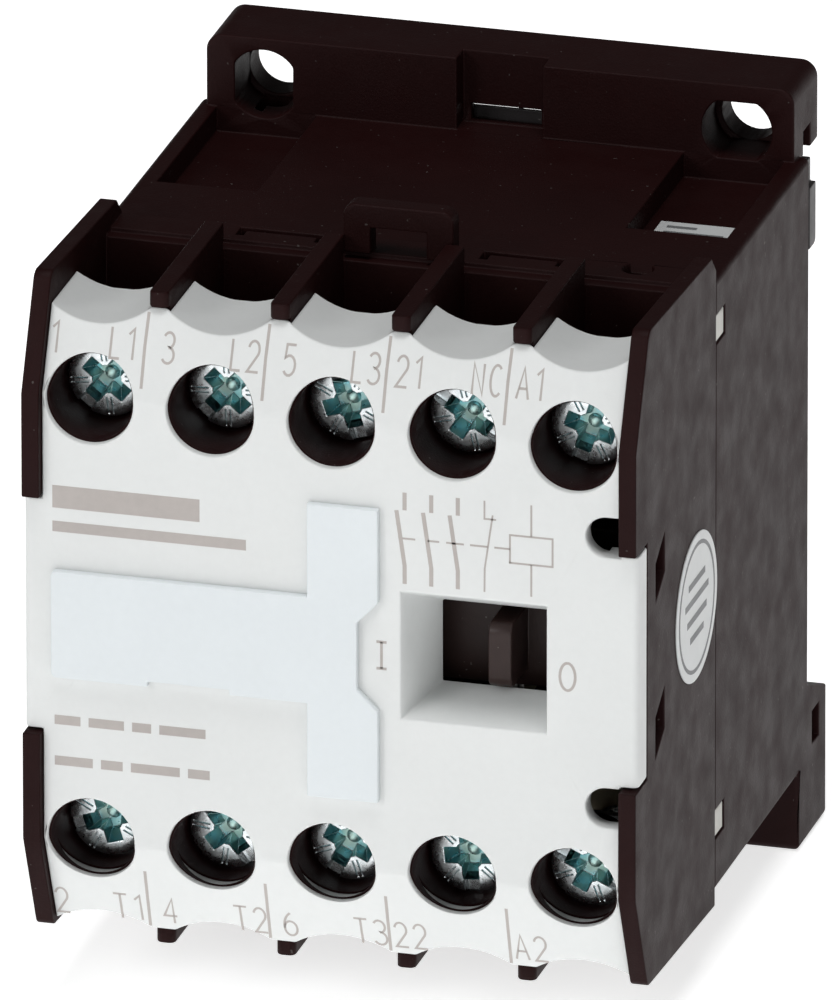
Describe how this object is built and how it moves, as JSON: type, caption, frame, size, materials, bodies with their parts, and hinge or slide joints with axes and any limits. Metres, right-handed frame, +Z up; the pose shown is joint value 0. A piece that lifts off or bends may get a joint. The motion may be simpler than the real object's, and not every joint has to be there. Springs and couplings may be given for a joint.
{
  "type": "rail-mounted mini contactor",
  "caption": "Compact rail-mounted contactor: dark two-part housing, light front cover with recessed clamp screws, sliding contact carrier with indicator tab, coil magnet and sprung rail latch.",
  "frame": {"origin": "middle of the four-hole panel screw pattern, on the mounting plane and on the rail's centre line", "axes": "+Z up along the upright rail-mounted pose, +Y into the panel, +X to the right as seen from the front"},
  "size_m": [0.0451, 0.052, 0.058],
  "materials": {
    "housing_plastic": "fine-grained dark brown-black thermoplastic",
    "cover_plastic": "light grey satin moulding",
    "marker_plastic": "cool white satin",
    "partition_plastic": "light grey moulding",
    "carrier_plastic": "dark brown moulding",
    "latch_plastic": "black moulding",
    "bobbin_plastic": "natural nylon",
    "core_steel": "laminated sheet stack",
    "copper": "plain copper",
    "winding": "enamelled wire under clear tape",
    "silver": "silver contact alloy",
    "terminal_metal": "tinned brass",
    "zinc_screw": "blue zinc plating",
    "zinc_washer": "zinc plating",
    "spring_steel": "drawn wire",
    "pad_rubber": "soft rubber",
    "label": "printed film"
  },
  "bodies": {
    "housing": {"rear_housing": "housing_plastic", "front_housing": "housing_plastic", "front_cover": "cover_plastic", "marker_plate": "marker_plastic", "driver_collars": "housing_plastic", "latch_springs": "spring_steel", "partition_plate": "partition_plastic", "magnet_core": "core_steel", "shading_rings": "copper", "coil_bobbin": "bobbin_plastic", "coil_winding": "winding", "coil_leads": "copper", "damping_pad": "pad_rubber", "fixed_tips": "silver", "coil_label": "label", "side_label": "label", "terminal_strip_top_1": "terminal_metal", "terminal_strip_top_2": "terminal_metal", "terminal_strip_top_3": "terminal_metal", "terminal_strip_top_4": "terminal_metal", "terminal_strip_top_5": "terminal_metal", "terminal_strip_bottom_1": "terminal_metal", "terminal_strip_bottom_2": "terminal_metal", "terminal_strip_bottom_3": "terminal_metal", "terminal_strip_bottom_4": "terminal_metal", "terminal_strip_bottom_5": "terminal_metal"},
    "carrier": {"contact_carrier": "carrier_plastic", "armature": "core_steel", "armature_pin": "spring_steel", "return_spring": "spring_steel", "contact_springs": "spring_steel"},
    "bridges": {"contact_bridge_1": "copper", "contact_bridge_2": "copper", "contact_bridge_3": "copper", "contact_bridge_4": "copper", "bridge_tips": "silver"},
    "latch": {"rail_latch": "latch_plastic"},
    "clamp_top_1": {"clamp_washer_top_1": "zinc_washer"},
    "screw_top_1": {"clamp_screw_top_1": "zinc_screw"},
    "clamp_top_2": {"clamp_washer_top_2": "zinc_washer"},
    "screw_top_2": {"clamp_screw_top_2": "zinc_screw"},
    "clamp_top_3": {"clamp_washer_top_3": "zinc_washer"},
    "screw_top_3": {"clamp_screw_top_3": "zinc_screw"},
    "clamp_top_4": {"clamp_washer_top_4": "zinc_washer"},
    "screw_top_4": {"clamp_screw_top_4": "zinc_screw"},
    "clamp_top_5": {"clamp_washer_top_5": "zinc_washer"},
    "screw_top_5": {"clamp_screw_top_5": "zinc_screw"},
    "clamp_bottom_1": {"clamp_washer_bottom_1": "zinc_washer"},
    "screw_bottom_1": {"clamp_screw_bottom_1": "zinc_screw"},
    "clamp_bottom_2": {"clamp_washer_bottom_2": "zinc_washer"},
    "screw_bottom_2": {"clamp_screw_bottom_2": "zinc_screw"},
    "clamp_bottom_3": {"clamp_washer_bottom_3": "zinc_washer"},
    "screw_bottom_3": {"clamp_screw_bottom_3": "zinc_screw"},
    "clamp_bottom_4": {"clamp_washer_bottom_4": "zinc_washer"},
    "screw_bottom_4": {"clamp_screw_bottom_4": "zinc_screw"},
    "clamp_bottom_5": {"clamp_washer_bottom_5": "zinc_washer"},
    "screw_bottom_5": {"clamp_screw_bottom_5": "zinc_screw"}
  },
  "joints": [
    {"name": "carrier_slide", "type": "slide", "parent": "housing", "child": "carrier", "axis": [-1, 0, 0], "range_m": [0, 0.0033], "stiffness_N_per_m": 350, "springref_m": -0.006, "deforming": ["return_spring", "contact_springs"]},
    {"name": "bridge_slide", "type": "slide", "parent": "housing", "child": "bridges", "axis": [-1, 0, 0], "range_m": [0, 0.0025]},
    {"name": "latch_slide", "type": "slide", "parent": "housing", "child": "latch", "axis": [0, 0, 1], "range_m": [0, 0.0024], "stiffness_N_per_m": 900, "springref_m": -0.002, "deforming": ["latch_springs"]},
    {"name": "clamp_slide_top_1", "type": "slide", "parent": "housing", "child": "clamp_top_1", "axis": [0, 1, 0], "range_m": [0, 0.0036]},
    {"name": "screw_turn_top_1", "type": "hinge", "parent": "clamp_top_1", "child": "screw_top_1", "pos_m": [-0.0177, -0.0467, 0.01745], "axis": [0, 1, 0], "range_deg": [0, 2172]},
    {"name": "clamp_slide_top_2", "type": "slide", "parent": "housing", "child": "clamp_top_2", "axis": [0, 1, 0], "range_m": [0, 0.0036]},
    {"name": "screw_turn_top_2", "type": "hinge", "parent": "clamp_top_2", "child": "screw_top_2", "pos_m": [-0.00885, -0.0467, 0.01745], "axis": [0, 1, 0], "range_deg": [0, 2172]},
    {"name": "clamp_slide_top_3", "type": "slide", "parent": "housing", "child": "clamp_top_3", "axis": [0, 1, 0], "range_m": [0, 0.0036]},
    {"name": "screw_turn_top_3", "type": "hinge", "parent": "clamp_top_3", "child": "screw_top_3", "pos_m": [0, -0.0467, 0.01745], "axis": [0, 1, 0], "range_deg": [0, 2172]},
    {"name": "clamp_slide_top_4", "type": "slide", "parent": "housing", "child": "clamp_top_4", "axis": [0, 1, 0], "range_m": [0, 0.0036]},
    {"name": "screw_turn_top_4", "type": "hinge", "parent": "clamp_top_4", "child": "screw_top_4", "pos_m": [0.00885, -0.0467, 0.01745], "axis": [0, 1, 0], "range_deg": [0, 2172]},
    {"name": "clamp_slide_top_5", "type": "slide", "parent": "housing", "child": "clamp_top_5", "axis": [0, 1, 0], "range_m": [0, 0.0036]},
    {"name": "screw_turn_top_5", "type": "hinge", "parent": "clamp_top_5", "child": "screw_top_5", "pos_m": [0.0177, -0.0467, 0.01745], "axis": [0, 1, 0], "range_deg": [0, 2172]},
    {"name": "clamp_slide_bottom_1", "type": "slide", "parent": "housing", "child": "clamp_bottom_1", "axis": [0, 1, 0], "range_m": [0, 0.0036]},
    {"name": "screw_turn_bottom_1", "type": "hinge", "parent": "clamp_bottom_1", "child": "screw_bottom_1", "pos_m": [-0.0177, -0.0467, -0.01595], "axis": [0, 1, 0], "range_deg": [0, 2172]},
    {"name": "clamp_slide_bottom_2", "type": "slide", "parent": "housing", "child": "clamp_bottom_2", "axis": [0, 1, 0], "range_m": [0, 0.0036]},
    {"name": "screw_turn_bottom_2", "type": "hinge", "parent": "clamp_bottom_2", "child": "screw_bottom_2", "pos_m": [-0.00885, -0.0467, -0.01595], "axis": [0, 1, 0], "range_deg": [0, 2172]},
    {"name": "clamp_slide_bottom_3", "type": "slide", "parent": "housing", "child": "clamp_bottom_3", "axis": [0, 1, 0], "range_m": [0, 0.0036]},
    {"name": "screw_turn_bottom_3", "type": "hinge", "parent": "clamp_bottom_3", "child": "screw_bottom_3", "pos_m": [0, -0.0467, -0.01595], "axis": [0, 1, 0], "range_deg": [0, 2172]},
    {"name": "clamp_slide_bottom_4", "type": "slide", "parent": "housing", "child": "clamp_bottom_4", "axis": [0, 1, 0], "range_m": [0, 0.0036]},
    {"name": "screw_turn_bottom_4", "type": "hinge", "parent": "clamp_bottom_4", "child": "screw_bottom_4", "pos_m": [0.00885, -0.0467, -0.01595], "axis": [0, 1, 0], "range_deg": [0, 2172]},
    {"name": "clamp_slide_bottom_5", "type": "slide", "parent": "housing", "child": "clamp_bottom_5", "axis": [0, 1, 0], "range_m": [0, 0.0036]},
    {"name": "screw_turn_bottom_5", "type": "hinge", "parent": "clamp_bottom_5", "child": "screw_bottom_5", "pos_m": [0.0177, -0.0467, -0.01595], "axis": [0, 1, 0], "range_deg": [0, 2172]}
  ],
  "couplings": [
    {"joint": "bridge_slide", "follows": "carrier_slide", "ratio": 0.75758},
    {"joint": "screw_turn_top_1", "follows": "clamp_slide_top_1", "rad_per_m": 10472},
    {"joint": "screw_turn_top_2", "follows": "clamp_slide_top_2", "rad_per_m": 10472},
    {"joint": "screw_turn_top_3", "follows": "clamp_slide_top_3", "rad_per_m": 10472},
    {"joint": "screw_turn_top_4", "follows": "clamp_slide_top_4", "rad_per_m": 10472},
    {"joint": "screw_turn_top_5", "follows": "clamp_slide_top_5", "rad_per_m": 10472},
    {"joint": "screw_turn_bottom_1", "follows": "clamp_slide_bottom_1", "rad_per_m": 10472},
    {"joint": "screw_turn_bottom_2", "follows": "clamp_slide_bottom_2", "rad_per_m": 10472},
    {"joint": "screw_turn_bottom_3", "follows": "clamp_slide_bottom_3", "rad_per_m": 10472},
    {"joint": "screw_turn_bottom_4", "follows": "clamp_slide_bottom_4", "rad_per_m": 10472},
    {"joint": "screw_turn_bottom_5", "follows": "clamp_slide_bottom_5", "rad_per_m": 10472}
  ]
}
